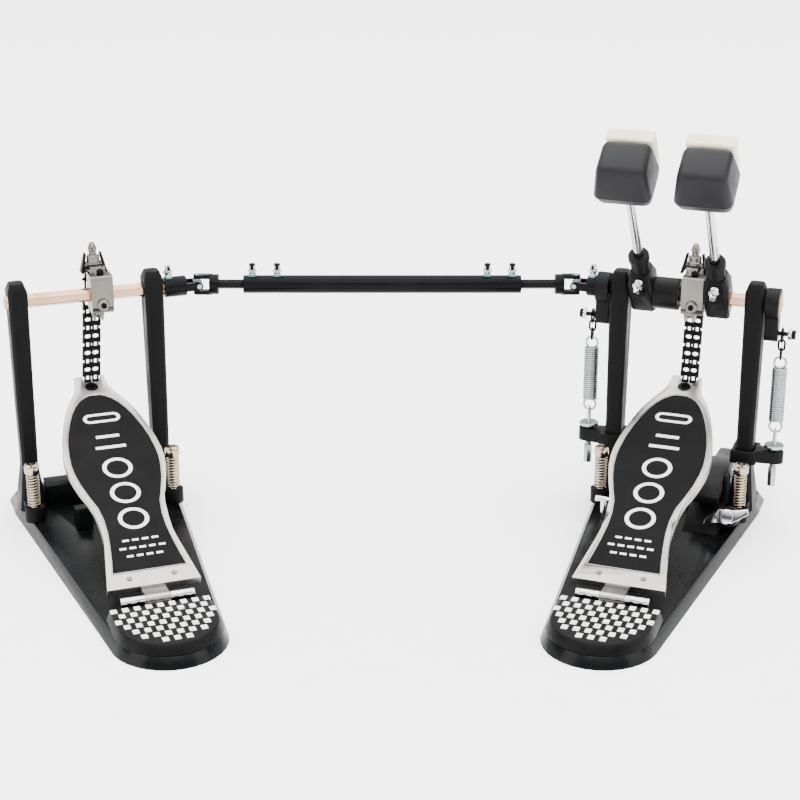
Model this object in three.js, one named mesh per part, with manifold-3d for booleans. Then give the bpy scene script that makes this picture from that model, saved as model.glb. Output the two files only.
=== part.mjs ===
// Twin bass drum pedal: a main pedal that carries both beaters, a second pedal beside it,
// and a drive linkage with two universal joints between them.
// Millimetres, +Z up, +Y towards the drum. Each pedal is drawn in its own frame
// (u to the right, v towards the drum, z up, origin on the floor under its shaft)
// and is then turned outwards and set to one side.
import * as THREE from 'three';
import { mergeVertices } from 'three/addons/utils/BufferGeometryUtils.js';
import Module from 'manifold-3d';

const wasm = await Module();
wasm.setup();

// ---- driving dimensions -------------------------------------------------------------
const PEDAL_X = 261.85;            // each pedal's distance from the middle
const TOE_OUT = 19.97;             // degrees that each pedal is turned outwards
const BOX_CENTRE = [5.838, -121.436];   // middle of the whole object before it is centred
const GAP = 0.3;                   // clearance between pieces that meet

const SHAFT_Z = 197;               // shaft axis above the floor
const HEX_FLATS = 11;              // hexagonal shaft, across flats
const POST_U = 59;                 // post centres from the pedal's middle
const POST_FOOT = [6.8, 9.4];       // half width and half depth where the post leaves its foot
const POST_HEAD = [8.3, 11.6];     // and at its head, round the bearing
const POST_TOP = 17;               // top of the post above the shaft axis
const BEARING_R = 7.2;

const BASE_TOP = 9;
const BASE_EDGE = 5;               // how far the top edge of the base is set in
const BASE_FRONT = 52;
const BASE_HALF_FRONT = 74;
const BASE_HALF_HEEL = 46;
const HEEL_CENTRE = -282;          // centre of the rounded heel, along v
const HEEL_LENGTH = 49;
const HEEL_TOP = 18;

const PIN_V = -246;                // heel hinge pin
const PIN_Z = 20;
const PIN_R = 1.6;
const KNUCKLE_R = 3.5;
const HINGE_HALF = 29.3;

const BOARD_V = -232;              // heel end of the footboard's top face
const BOARD_Z = 25;
const BOARD_SLOPE = 20.35;         // degrees
const BOARD_THICK = 7;
const BOARD_U = 1;
const BOARD_END = 264.5;
const CHAIN_SEAT = 261;            // chain pin along the board
const CHAIN_SEAT_DEPTH = 3.5;

const TOE_CHAIN_U = 3;             // middle of the chain where it is pinned to the board
const CHAIN_WIDTH = 15;
const CHAIN_THICK = 5;
const CHAIN_GAP = 0.9;             // free length between stretches, so that they can bend
const CHAIN_RADIUS = 24;           // shaft axis to the chain's pitch line
const LINK_ANGLE = 26;             // each free stretch covers this much of the cam
const WRAP_END = 82;               // chain's fixed end, degrees round the cam
const CAM_WHEEL_R = 18.6;

const BEATER_LEAN = 37;            // degrees back from vertical at rest
const BEATER_RADIUS = 155;         // shaft axis to the middle of the head
const HUB_REACH = 51;              // top of the beater hub from the shaft axis
const ROD_R = 4;
const MAIN_BEATER_U = 27;
const SECOND_BEATER_U = -38.5;

const SPRING_U = 83.5;
const ROCKER_ARM = 26;             // shaft axis to the rocker's pin
const SPRING_R = 6;
const COIL_LOW = 91;
const COIL_HIGH = 140;
const EYE_Z = 82;                  // eye of the tension rod
const ARM_Z = 58;
const ROD_LOW = 30;

const JOINT_U = 99.9;              // universal joint centres from each pedal's middle
const TUBE_LEFT = -127;
const TUBE_RIGHT = 119;
const TUBE_R = 8;

const SPUR_U = 62;
const SPUR_V = -38;
const SPUR_TOP = 62;
const SPUR_HEAD_R = 6.6;
const SPUR_HOLE_R = 3.4;

const rad = THREE.MathUtils.degToRad;
// camU is the middle of each cam: the second pedal's sits further to the right.
const sides = [{ name: 'left', x: -PEDAL_X, turn: TOE_OUT, inner: 1, camU: 10 },
  { name: 'right', x: PEDAL_X, turn: -TOE_OUT, inner: -1, camU: 3 }];

// ---- materials ----------------------------------------------------------------------
const finish = (color, roughness, metalness) => () =>
  new THREE.MeshStandardMaterial({ color, roughness, metalness });
const blackPaint = finish(0x1b1b1d, 0.45, 0.2);
const basePaint = finish(0x2b2d31, 0.25, 0.3);
const blackCasting = finish(0x202022, 0.55, 0.2);
const castAluminium = finish(0xd9d6d1, 0.35, 0.9);
const rubber = finish(0x3a3a3a, 0.8, 0);
const chrome = finish(0xd6d6d6, 0.12, 1);
const warmNickel = finish(0xe2c3a8, 0.2, 1);
const zinc = finish(0xb9c2c0, 0.35, 0.9);
const blackSteel = finish(0x141416, 0.35, 0.7);
const plastic = finish(0x3d3d3f, 0.5, 0);
const felt = finish(0xf6eee0, 0.95, 0);

// ---- solids -------------------------------------------------------------------------
// A closed geometry becomes a solid that can be joined and cut.
function solid(geometry) {
  const bare = geometry.clone();
  bare.deleteAttribute('normal');
  bare.deleteAttribute('uv');
  const merged = mergeVertices(bare, 1e-4);
  return new wasm.Manifold(new wasm.Mesh({
    numProp: 3,
    vertProperties: new Float32Array(merged.attributes.position.array),
    triVerts: new Uint32Array(merged.index.array),
  }));
}

const join = (first, ...rest) => rest.reduce((sum, next) => sum.add(next), first);
const cut = (first, ...rest) => rest.reduce((left, next) => left.subtract(next), first);

// A box from its low corner to its high corner.
function block(u0, u1, v0, v1, z0, z1) {
  const box = new THREE.BoxGeometry(u1 - u0, v1 - v0, z1 - z0);
  return solid(box.translate((u0 + u1) / 2, (v0 + v1) / 2, (z0 + z1) / 2));
}

// A round bar (or a prism, with few segments) between two points.
function bar(radius, from, to, segments = 16, endRadius = radius) {
  const a = new THREE.Vector3(...from);
  const b = new THREE.Vector3(...to);
  const way = b.clone().sub(a);
  const shape = new THREE.CylinderGeometry(endRadius, radius, way.length(), segments);
  const turn = new THREE.Quaternion().setFromUnitVectors(new THREE.Vector3(0, 1, 0), way.normalize());
  shape.applyQuaternion(turn);
  const middle = a.add(b).multiplyScalar(0.5);
  return solid(shape.translate(middle.x, middle.y, middle.z));
}

// A flat outline in (u, v), raised from z0 to z1.
function plate(outline, z0, z1) {
  const shape = new THREE.Shape(outline);
  const raised = new THREE.ExtrudeGeometry(shape, { depth: z1 - z0, bevelEnabled: false });
  return solid(raised.translate(0, 0, z0));
}

// A side profile in (v, z), drawn out from u0 to u1.
function sideways(profile, u0, u1) {
  const shape = new THREE.Shape(profile);
  const drawn = new THREE.ExtrudeGeometry(shape, { depth: u1 - u0, bevelEnabled: false });
  const axes = new THREE.Matrix4().makeBasis(
    new THREE.Vector3(0, 1, 0), new THREE.Vector3(0, 0, 1), new THREE.Vector3(1, 0, 0));
  return solid(drawn.applyMatrix4(axes).translate(u0, 0, 0));
}

// A solid that changes evenly from one outline at z0 to another with as many points at z1.
function taper(low, z0, high, z1) {
  const n = low.length;
  const points = [...low.map((p) => [p.x, p.y, z0]), ...high.map((p) => [p.x, p.y, z1])];
  const faces = [];
  for (const [a, b, c] of THREE.ShapeUtils.triangulateShape(low, [])) {
    faces.push(c, b, a, a + n, b + n, c + n);
  }
  for (let i = 0; i < n; i++) {
    const j = (i + 1) % n;
    faces.push(i, j, j + n, i, j + n, i + n);
  }
  const mesh = new THREE.BufferGeometry();
  mesh.setAttribute('position', new THREE.Float32BufferAttribute(points.flat(), 3));
  mesh.setIndex(faces);
  return solid(mesh);
}

const at = (x, y) => new THREE.Vector2(x, y);

// Points on an ellipse between two angles in degrees.
function arc(cx, cy, rx, ry, from, to, steps) {
  const points = [];
  for (let i = 0; i <= steps; i++) {
    const angle = rad(from + (to - from) * i / steps);
    points.push(at(cx + rx * Math.cos(angle), cy + ry * Math.sin(angle)));
  }
  return points;
}

// A rectangle with cut corners, as a closed outline.
function chamfered(x0, x1, y0, y1, corner) {
  return [at(x0 + corner, y0), at(x1 - corner, y0), at(x1, y0 + corner), at(x1, y1 - corner),
    at(x1 - corner, y1), at(x0 + corner, y1), at(x0, y1 - corner), at(x0, y0 + corner)];
}

// ---- pedal pieces -------------------------------------------------------------------
const hexagon = (flats) => flats / Math.sqrt(3);

function alongU(radius, u0, u1, segments = 16, v = 0, z = SHAFT_Z) {
  return bar(radius, [u0, v, z], [u1, v, z], segments);
}

function baseOutline(inset) {
  const front = BASE_HALF_FRONT - inset;
  return [at(front, 0), at(front, BASE_FRONT - 16 - inset), at(front - 10, BASE_FRONT - inset),
    at(-front + 10, BASE_FRONT - inset), at(-front, BASE_FRONT - 16 - inset), at(-front, 0),
    ...arc(0, HEEL_CENTRE, BASE_HALF_HEEL - inset, HEEL_LENGTH - inset, 180, 360, 16)];
}

function basePlate(side) {
  const skin = taper(baseOutline(0), 0, baseOutline(BASE_EDGE), BASE_TOP);
  const hollow = plate([at(-58, -30), at(-40, -230), at(40, -230), at(58, -30)], -1, BASE_TOP - 3);
  const crossbar = sideways(chamfered(-9, 9, BASE_TOP - 1, 30, 3), -47, 47);
  let plain = cut(skin.add(crossbar), hollow);
  for (const u of [-SPUR_U, SPUR_U]) {
    plain = plain.subtract(bar(SPUR_HOLE_R, [u, SPUR_V, -1], [u, SPUR_V, 40], 12));
  }
  if (side.name === 'left') {
    const stop = sideways(chamfered(-74, -60, BASE_TOP - 1, 28, 2), -32, -18);
    return plain.add(stop);
  }
  return plain;
}

function heelPlate() {
  const outline = (w, l) => [at(w, PIN_V - 5), at(-w, PIN_V - 5),
    ...arc(0, HEEL_CENTRE, w, l, 180, 360, 16)];
  return taper(outline(43, 45), BASE_TOP + GAP, outline(39, 40), HEEL_TOP);
}

// Two outer knuckles on a block, with the pin through them.
function hingeBase() {
  const foot = block(-HINGE_HALF, HINGE_HALF, PIN_V - 4.5, PIN_V + 4, BASE_TOP + GAP, PIN_Z - 5);
  const pin = alongU(PIN_R, -HINGE_HALF, HINGE_HALF, 12, PIN_V, PIN_Z);
  const inner = 9.7 + GAP;
  const knuckles = [-1, 1].map((s) => join(
    alongU(KNUCKLE_R, s * inner, s * HINGE_HALF, 16, PIN_V, PIN_Z),
    block(Math.min(s * inner, s * HINGE_HALF), Math.max(s * inner, s * HINGE_HALF),
      PIN_V - 3, PIN_V + 3, PIN_Z - 6, PIN_Z)));
  return join(foot, pin, ...knuckles);
}

// A post with its rounded head, bearing hole and flared foot; the foot carries the spur bolt.
function post(s) {
  const u = s * POST_U;
  const top = SHAFT_Z + POST_TOP;
  const section = ([w, d], inset = 0) =>
    chamfered(u - w + inset, u + w - inset, -d + 2 * inset, d - 2 * inset, 2.5);
  const shank = taper(section(POST_FOOT), 20, section(POST_HEAD), top - 7);
  const head = taper(section(POST_HEAD), top - 7, section(POST_HEAD, 2.2), top);
  const foot = taper(chamfered(u - 12, u + 12, -18, 16, 3), BASE_TOP + GAP, section(POST_FOOT), 48);
  const spurSeat = bar(8.5, [s * SPUR_U, SPUR_V, BASE_TOP + GAP], [s * SPUR_U, SPUR_V, 22], 16);
  const web = block(s * SPUR_U - 6, s * SPUR_U + 6, SPUR_V, -10, BASE_TOP + GAP, 20);
  return cut(join(shank, head, foot, spurSeat, web),
    alongU(BEARING_R, u - 20, u + 20, 20),
    bar(SPUR_HOLE_R, [s * SPUR_U, SPUR_V, 0], [s * SPUR_U, SPUR_V, 40], 12));
}

// A spur bolt: threaded shank, collar that seats its spring, and round head.
function spurBolt(s) {
  const place = (z) => [s * SPUR_U, SPUR_V, z];
  const shank = bar(3, place(3), place(SPUR_TOP - 6), 12);
  const point = bar(0.6, place(0.4), place(3.1), 12, 3);
  const head = bar(SPUR_HEAD_R, place(SPUR_TOP - 7), place(SPUR_TOP - 1.5), 16);
  const crown = bar(SPUR_HEAD_R, place(SPUR_TOP - 1.6), place(SPUR_TOP), 16, 5);
  return join(shank, point, head, crown);
}

// The footboard lies flat while it is drawn: x across, y along it, z out of its top face.
const boardHalf = [[37.5, 0], [34, 22], [30, 46], [28.3, 66], [30.5, 98], [36, 116], [41, 138],
  [42, 158], [39, 181], [32, 210], [24, 230], [17, 243], [14.5, 252], [13.2, BOARD_END]];
const padHalf = [[30, 17], [26.5, 42], [24.3, 68], [25.8, 92], [33, 117], [37, 140], [37.3, 158],
  [34.5, 181], [28, 205], [21, 222], [13, 233], [5, 238]];

function mirroredOutline(half, steps) {
  const curve = new THREE.SplineCurve(half.map(([x, y]) => at(x, y)));
  const right = curve.getPoints(steps);
  const left = right.map((p) => at(-p.x, p.y)).reverse();
  return [...right, ...left];
}

function onSlope(shape) {
  const turn = new THREE.Matrix4().makeRotationX(rad(BOARD_SLOPE));
  turn.setPosition(BOARD_U, BOARD_V, BOARD_Z);
  return shape.transform(turn.elements);
}

function footboard() {
  const body = plate(mirroredOutline(boardHalf, 24), -BOARD_THICK, 0);
  const padSeat = plate(mirroredOutline(padHalf.map(([x, y]) => [x + GAP, y]), 18), -1.6, 1);
  const screwSeat = bar(5.9, [0, 250, -3], [0, 250, 1], 20);
  const across = TOE_CHAIN_U - BOARD_U;
  const notch = block(across - 8, across + 8, CHAIN_SEAT - 5, BOARD_END + 2, -BOARD_THICK - 1, 1);
  const plain = onSlope(cut(body, padSeat, screwSeat, notch));
  const tongue = sideways([at(PIN_V, PIN_Z - 3.4), at(PIN_V + 20, PIN_Z - 3.4 + 3),
    at(PIN_V + 20, PIN_Z + 2), at(PIN_V, PIN_Z + 3.4)], -9.7, 9.7);
  const knuckle = alongU(KNUCKLE_R, -9.7, 9.7, 16, PIN_V, PIN_Z);
  const hole = alongU(PIN_R + GAP, -12, 12, 12, PIN_V, PIN_Z);
  return cut(join(plain, tongue, knuckle), hole);
}

function treadPad() {
  return onSlope(plate(mirroredOutline(padHalf, 18), -1.3, -0.1));
}

// ---- cam and chain ------------------------------------------------------------------
// Where the chain is pinned to the board, and where it meets the cam, in (v, z).
const slopeCos = Math.cos(rad(BOARD_SLOPE));
const slopeSin = Math.sin(rad(BOARD_SLOPE));
const toe = at(BOARD_V + CHAIN_SEAT * slopeCos + CHAIN_SEAT_DEPTH * slopeSin,
  BOARD_Z + CHAIN_SEAT * slopeSin - CHAIN_SEAT_DEPTH * slopeCos);
const toeReach = Math.hypot(toe.x, toe.y - SHAFT_Z);
const leaveAngle = Math.atan2(toe.y - SHAFT_Z, toe.x) + Math.acos(CHAIN_RADIUS / toeReach);

function onCam(degreesPast, radius = CHAIN_RADIUS) {
  const angle = leaveAngle + rad(degreesPast);
  return at(radius * Math.cos(angle), SHAFT_Z + radius * Math.sin(angle));
}

// A straight stretch of duplex chain: three rows of plates with rollers between them.
function chainStretch(from, to, pitches, fromU, toU) {
  const length = from.distanceTo(to);
  const half = CHAIN_THICK / 2;
  const plateRows = [[-CHAIN_WIDTH / 2, -4.9], [-1.3, 1.3], [4.9, CHAIN_WIDTH / 2]];
  const pieces = plateRows.map(([u0, u1]) => block(u0, u1, CHAIN_GAP, length - CHAIN_GAP, -half, half));
  for (let i = 0; i < pitches; i++) {
    const v = length * (i + 0.5) / pitches;
    pieces.push(bar(1.9, [-5, v, 0], [5, v, 0], 6));
  }
  const way = to.clone().sub(from);
  const turn = new THREE.Matrix4().makeRotationX(Math.atan2(way.y, way.x));
  turn.setPosition(fromU, from.x, from.y);
  const slant = new THREE.Matrix4();
  slant.elements[4] = (toU - fromU) / length;
  turn.multiply(slant);
  return join(...pieces).transform(turn.elements);
}

function chainWrap(camU) {
  const start = rad(2 * LINK_ANGLE) + leaveAngle + CHAIN_GAP / CHAIN_RADIUS;
  const first = start * 180 / Math.PI;
  const far = CHAIN_RADIUS + CHAIN_THICK / 2;
  const near = CHAIN_RADIUS - CHAIN_THICK / 2;
  const outer = arc(0, SHAFT_Z, far, far, first, WRAP_END, 5);
  const inner = arc(0, SHAFT_Z, near, near, WRAP_END, first, 5);
  return sideways([...outer, ...inner], camU - CHAIN_WIDTH / 2, camU + CHAIN_WIDTH / 2);
}

// The cam wheel is cut away at the front, where its clamping block stands.
function cam(camU) {
  const frontCut = block(camU - 6, camU + 6, -30, -5, SHAFT_Z - 30, SHAFT_Z + 30);
  const wheel = alongU(CAM_WHEEL_R, camU - 5, camU + 5, 28).subtract(frontCut);
  const first = THREE.MathUtils.radToDeg(leaveAngle) + 2 * LINK_ANGLE + 2;
  const saddle = sideways([at(0, SHAFT_Z), ...arc(0, SHAFT_Z, 21, 21, first, WRAP_END, 4)],
    camU - 5, camU + 5);
  const hubU = camU + 3;
  const hub = sideways(chamfered(-13, 9, SHAFT_Z - 14, SHAFT_Z + 12, 1.5), hubU - 9.5, hubU + 9.5);
  const lug = block(hubU - 6, hubU + 6, 2, 8, SHAFT_Z + 10, SHAFT_Z + 17);
  const hubScrew = bar(4.5, [hubU, -12, SHAFT_Z - 9], [hubU, -15, SHAFT_Z - 9], 16);
  const setScrew = block(hubU - 2.5, hubU + 2.5, -6, -1, SHAFT_Z + 11, SHAFT_Z + 15);
  const bore = alongU(hexagon(HEX_FLATS + 2 * GAP), -25, 40, 6);
  return cut(join(wheel, saddle, hub, lug, hubScrew, setScrew), bore);
}

function shaft(u0, u1) {
  return alongU(hexagon(HEX_FLATS), u0, u1, 6);
}

// ---- beaters, rockers and springs on the main pedal ---------------------------------
// Pieces of a beater are drawn upright over the shaft and then leant back.
function leanBack(shape) {
  const turn = new THREE.Matrix4().makeTranslation(0, 0, SHAFT_Z)
    .multiply(new THREE.Matrix4().makeRotationX(rad(BEATER_LEAN)))
    .multiply(new THREE.Matrix4().makeTranslation(0, 0, -SHAFT_Z));
  return shape.transform(turn.elements);
}

function beaterHub(u) {
  const section = chamfered(u - 10.5, u + 10.5, -12, 12, 2);
  const clamp = taper(section, SHAFT_Z - 13, section, SHAFT_Z + 20);
  const shoulder = taper(section, SHAFT_Z + 20, chamfered(u - 8.4, u + 8.4, -8.4, 8.4, 2), SHAFT_Z + 32);
  const stem = bar(8, [u, 0, SHAFT_Z + 20], [u, 0, SHAFT_Z + HUB_REACH], 16);
  const screw = bar(4.6, [u, -11, SHAFT_Z + 14], [u, -16, SHAFT_Z + 14], 16);
  const rodHole = bar(ROD_R + GAP, [u, 0, SHAFT_Z + 12], [u, 0, SHAFT_Z + 60], 16);
  return leanBack(cut(join(clamp, shoulder, stem, screw), rodHole));
}

const rodFoot = SHAFT_Z + 12 + GAP;
const headLow = SHAFT_Z + BEATER_RADIUS - 22;
const headHigh = SHAFT_Z + BEATER_RADIUS + 22;

function beaterRod(u) {
  return leanBack(bar(ROD_R, [u, 0, rodFoot], [u, 0, headLow + 20], 16));
}

function beaterHead(u) {
  const middle = chamfered(u - 24, u + 24, -22, 21, 9);
  const lower = taper(chamfered(u - 21, u + 21, -17, 16, 8), headLow, middle, headLow + 10);
  const body = taper(middle, headLow + 10, middle, headHigh - 5);
  const upper = taper(middle, headHigh - 5, chamfered(u - 20, u + 20, -18, 19, 8), headHigh);
  const rodHole = bar(ROD_R + GAP, [u, 0, headLow - 5], [u, 0, headLow + 20 + GAP], 16);
  return leanBack(cut(join(lower, body, upper), rodHole));
}

function beaterFelt(u) {
  const section = chamfered(u - 20, u + 20, 21 + GAP, 33, 3);
  return leanBack(taper(section, headLow + 4, section, headHigh - 4));
}

// The second beater's hub, its sleeve over the end of the main shaft, and its own axle.
function driveHub() {
  const sleeve = alongU(14, SECOND_BEATER_U + 10, -7, 20);
  const axle = alongU(hexagon(HEX_FLATS), -JOINT_U + 12.5, SECOND_BEATER_U - 9, 6);
  const mainEnd = alongU(7, SECOND_BEATER_U + 12, 0, 16);
  return cut(join(beaterHub(SECOND_BEATER_U), sleeve, axle), mainEnd);
}

function rocker(s) {
  const [low, high] = s > 0 ? [68.5, 80] : [-80, -68.5];
  const pinZ = SHAFT_Z - ROCKER_ARM;
  const ring = alongU(13.5, low, high, 24);
  const arm = block(low, high, -6.5, 6.5, pinZ - 1, SHAFT_Z);
  const foot = alongU(6.5, low, high, 16, 0, pinZ - 1);
  const outward = s > 0 ? high : low;
  const pin = alongU(2, outward - s * 2, s * 91, 12, 0, pinZ);
  const screw = alongU(4, s * 90.5, s * 95, 16, 0, pinZ);
  const bore = alongU(hexagon(HEX_FLATS + 2 * GAP), low - 5, high + 5, 6);
  return cut(join(ring, arm, foot, pin, screw), bore);
}

// A long loop from the rocker's pin down to the spring's upper hook; the pin has room in it.
function stirrup(s) {
  const u = s * SPRING_U;
  const pinZ = SHAFT_Z - ROCKER_ARM;
  const loop = block(u - 1.5, u + 1.5, -6, 6, COIL_HIGH + 8, pinZ + 5);
  const room = block(u - 5, u + 5, -3.8, 3.8, pinZ - 6, pinZ + 2.4);
  const hook = bar(1.2, [u, 0, COIL_HIGH + 0.3], [u, 0, COIL_HIGH + 9], 8);
  return join(cut(loop, room), hook);
}

// The coil and its lower hook, as one plain cylinder on a loop.
function springCoil(s) {
  const u = s * SPRING_U;
  const hook = bar(1.2, [u, 0, EYE_Z + 2.4], [u, 0, COIL_LOW + 1], 8);
  return join(bar(SPRING_R, [u, 0, COIL_LOW], [u, 0, COIL_HIGH], 16), hook);
}

function tensionRod(s) {
  const u = s * SPRING_U;
  const place = (z) => [u, 0, z];
  const armTop = ARM_Z + 6;
  const rod = bar(3.1, place(ROD_LOW), place(armTop + 1), 12);
  const neck = bar(1.6, place(armTop), place(EYE_Z - 1), 10);
  const eye = bar(2.4, place(EYE_Z - 2), place(EYE_Z + 2), 12);
  const nutCone = bar(5, place(armTop + GAP), place(armTop + 2.1), 20, 8.2);
  const nut = bar(8.2, place(armTop + 2), place(armTop + 4.5), 20);
  return join(rod, neck, eye, nutCone, nut);
}

// The arm clamps round the post and holds the tension rod.
function springArm(s) {
  const across = (a, b, halfV) => block(Math.min(s * a, s * b), Math.max(s * a, s * b), -halfV, halfV,
    ARM_Z - 6, ARM_Z + 6);
  const finger = across(60, 91, 8);
  const collar = across(47.5, 70.5, 14.5);
  const tip = bar(8, [s * 91, 0, ARM_Z - 6], [s * 91, 0, ARM_Z + 6], 16);
  const opening = block(s * POST_U - 7.6, s * POST_U + 7.6, -10.6, 10.6, ARM_Z - 20, ARM_Z + 20);
  const rodHole = bar(3.5, [s * SPRING_U, 0, ARM_Z - 20], [s * SPRING_U, 0, ARM_Z + 20], 12);
  return cut(join(finger, collar, tip), opening, rodHole);
}

// ---- hoop clamp ---------------------------------------------------------------------
const CLAMP_U = 36;
const JAW_PIVOT_V = -29;
const JAW_PIVOT_Z = 40;

function clampBracket() {
  const housing = sideways([at(-78, BASE_TOP + GAP), at(-21, BASE_TOP + GAP), at(-21, 24), at(-46, 24)],
    CLAMP_U - 15, CLAMP_U + 15);
  const ears = [[CLAMP_U - 15, CLAMP_U - 11.4], [CLAMP_U + 11.4, CLAMP_U + 15]].map(([a, b]) => join(
    block(a, b, JAW_PIVOT_V - 7, JAW_PIVOT_V + 7, 20, JAW_PIVOT_Z),
    alongU(7, a, b, 16, JAW_PIVOT_V, JAW_PIVOT_Z)));
  const pin = alongU(2.4, CLAMP_U - 15, CLAMP_U + 15, 12, JAW_PIVOT_V, JAW_PIVOT_Z);
  const seat = boltBar(9, -14, 4);
  return cut(join(housing, ...ears, pin, seat), boltBar(3.8, -12, 8));
}

// The wing bolt points at the player and a little upwards.
const BOLT_START = [58, -66, 23];
const BOLT_RISE = 22;

function boltPoint(distance) {
  const away = [0, -Math.cos(rad(BOLT_RISE)), Math.sin(rad(BOLT_RISE))];
  return BOLT_START.map((c, i) => c + away[i] * distance);
}

function boltBar(radius, from, to, segments = 16) {
  return bar(radius, boltPoint(from), boltPoint(to), segments);
}

function wingBolt() {
  const outline = [at(-17.6, -8.2), at(-8, -6), at(6, -5), at(18.5, 4), at(17.5, 8.8), at(8, 6.5), at(-6, 6),
    at(-16.4, -3)];
  const wings = new THREE.ExtrudeGeometry(new THREE.Shape(outline), { depth: 4, bevelEnabled: false });
  wings.rotateX(rad(90 - BOLT_RISE));
  wings.translate(...boltPoint(13));
  return join(boltBar(3.3, -9, 12), boltBar(6.2, 6, 17.5, 18), solid(wings));
}

// The upper jaw: a lever over the crossbar, with its gripping nose beyond the base.
function clampJaw() {
  const lever = sideways([at(-60, 30), at(-29, 35), at(14, 36), at(36, 27), at(72, 25), at(74, 31),
    at(40, 34), at(18, 44), at(-29, 47), at(-60, 36)], CLAMP_U - 11, CLAMP_U + 11);
  return lever.subtract(alongU(2.8, CLAMP_U - 20, CLAMP_U + 20, 12, JAW_PIVOT_V, JAW_PIVOT_Z));
}

// The fixed lower lip that the hoop rests on.
function clampLip() {
  return block(CLAMP_U - 16, CLAMP_U + 16, BASE_FRONT - 12, BASE_FRONT + 24, 3, BASE_TOP);
}

function drumKey() {
  const stem = bar(3.6, [-49, -74, BASE_TOP + GAP], [-49, -74, 26], 12);
  return join(stem, bar(2.8, [-57, -74, 27], [-41, -74, 27], 12));
}

// ---- drive linkage ------------------------------------------------------------------
// A yoke's two ears reach from its hub past the joint's centre; the cross turns in them.
const EAR_IN = 5.5;
const EAR_OUT = 9;
const HUB_FACE = 11;
const HUB_BACK = 19;
const LONG_HUB_BACK = 30;          // the second pedal's yoke reaches back to its post

// Drawn with the joint at the origin, the hub towards +X and the ears above and below.
function yoke(hubBack) {
  let shape = bar(9, [HUB_FACE, 0, 0], [hubBack, 0, 0], 20);
  for (const s of [-1, 1]) {
    const [z0, z1] = s > 0 ? [EAR_IN, EAR_OUT] : [-EAR_OUT, -EAR_IN];
    const ear = join(block(0, HUB_FACE + 2, -3.5, 3.5, z0, z1), bar(3.5, [0, 0, z0], [0, 0, z1], 14));
    shape = join(shape, ear);
  }
  return shape.subtract(bar(2.5, [0, 0, -20], [0, 0, 20], 12));
}

function cross() {
  return join(block(-3.5, 3.5, -3.5, 3.5, -3.5, 3.5), bar(2.2, [0, 0, -EAR_OUT], [0, 0, EAR_OUT], 12),
    bar(2.2, [0, -EAR_OUT, 0], [0, EAR_OUT, 0], 12));
}

function placed(shape, x, y, z, turnZ = 0, turnX = 0) {
  const turn = new THREE.Matrix4().makeTranslation(x, y, z)
    .multiply(new THREE.Matrix4().makeRotationZ(turnZ))
    .multiply(new THREE.Matrix4().makeRotationX(turnX));
  return shape.transform(turn.elements);
}

// On a shaft end the yoke lies on its side, so its ears stand before and behind the axis.
function shaftYoke(s) {
  const shaftBore = bar(hexagon(HEX_FLATS) + GAP, [HUB_FACE + 1, 0, 0], [40, 0, 0], 16);
  const hubBack = s > 0 ? LONG_HUB_BACK : HUB_BACK;
  const bored = yoke(hubBack).subtract(shaftBore);
  const screwX = hubBack - 4;
  const screw = bar(2.8, [screwX, -s * 6, 0], [screwX, -s * 19, 0], 10);
  const whole = join(bored, screw.subtract(bar(8.5, [0, 0, 0], [40, 0, 0], 12)));
  return placed(whole, s * JOINT_U, 0, SHAFT_Z, s > 0 ? Math.PI : 0, s > 0 ? -Math.PI / 2 : Math.PI / 2);
}

const jointX = PEDAL_X - JOINT_U * Math.cos(rad(TOE_OUT));
const jointY = JOINT_U * Math.sin(rad(TOE_OUT));

function driveRod(s) {
  const reach = s < 0 ? jointX + TUBE_LEFT + 60 : jointX - TUBE_RIGHT + 60;
  const whole = join(yoke(HUB_BACK), bar(hexagon(7.5), [HUB_BACK - 2, 0, 0], [reach, 0, 0], 6));
  return placed(whole, s * jointX, jointY, SHAFT_Z, s > 0 ? Math.PI : 0);
}

function driveTube() {
  const ends = (r, a, b) => bar(r, [a, jointY, SHAFT_Z], [b, jointY, SHAFT_Z], 24);
  const screws = [TUBE_LEFT + 8, TUBE_LEFT + 30, TUBE_RIGHT - 30, TUBE_RIGHT - 8].map((x) =>
    bar(2.8, [x, jointY, SHAFT_Z + TUBE_R - 1], [x, jointY, SHAFT_Z + TUBE_R + 11], 12));
  const bore = ends(hexagon(7.5) + GAP, TUBE_LEFT - 1, TUBE_RIGHT + 1);
  return join(cut(ends(TUBE_R, TUBE_LEFT, TUBE_RIGHT), bore),
    ...screws);
}

// ---- assembly -----------------------------------------------------------------------
// The whole object stands with the middle of its box over the origin.
const pedals = new THREE.Group();
pedals.name = 'twin_bass_drum_pedal';
const centring = new THREE.Group();
pedals.add(centring);

function mesh(parent, name, shape, material) {
  const data = shape.getMesh();
  const geometry = new THREE.BufferGeometry();
  geometry.setAttribute('position', new THREE.BufferAttribute(data.vertProperties, 3));
  geometry.setIndex(new THREE.BufferAttribute(data.triVerts, 1));
  geometry.computeVertexNormals();
  const piece = new THREE.Mesh(geometry, material());
  piece.name = name;
  parent.add(piece);
}

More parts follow.
